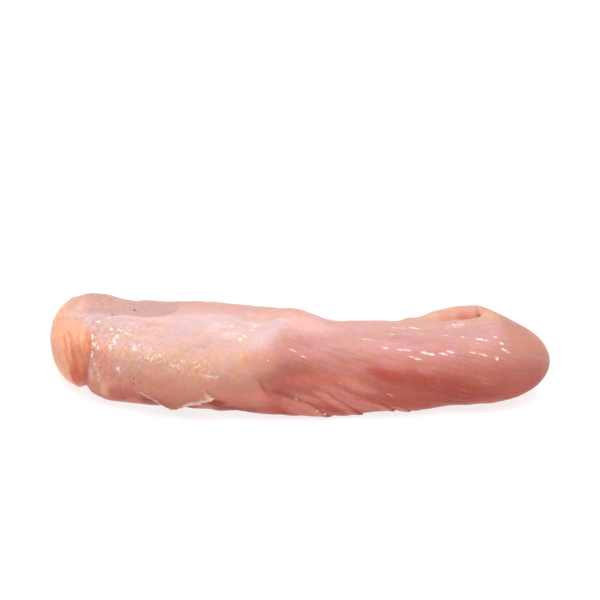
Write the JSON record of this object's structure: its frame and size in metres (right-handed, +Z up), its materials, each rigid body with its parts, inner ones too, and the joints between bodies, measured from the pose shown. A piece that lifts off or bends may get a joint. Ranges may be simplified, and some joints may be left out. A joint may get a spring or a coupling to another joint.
{
  "type": "raw alligator tenderloin",
  "caption": "Long trimmed muscle of raw reptile tail meat, slightly bowed, with a folded fat end, a slanting lobe, flaky lower edge and a rounded tip.",
  "frame": {"origin": "middle of the bounding box, on the surface that the meat lies on", "axes": "+X along the muscle from the fat end to the rounded tip, +Y away from the side that shows in the picture, +Z up"},
  "size_m": [0.22, 0.0696, 0.0384],
  "materials": {
    "raw_meat": "moist, translucent pale pink raw muscle with white silverskin and peach fat, soft gloss"
  },
  "bodies": {
    "root": {"tenderloin": "raw_meat"}
  },
  "joints": []
}
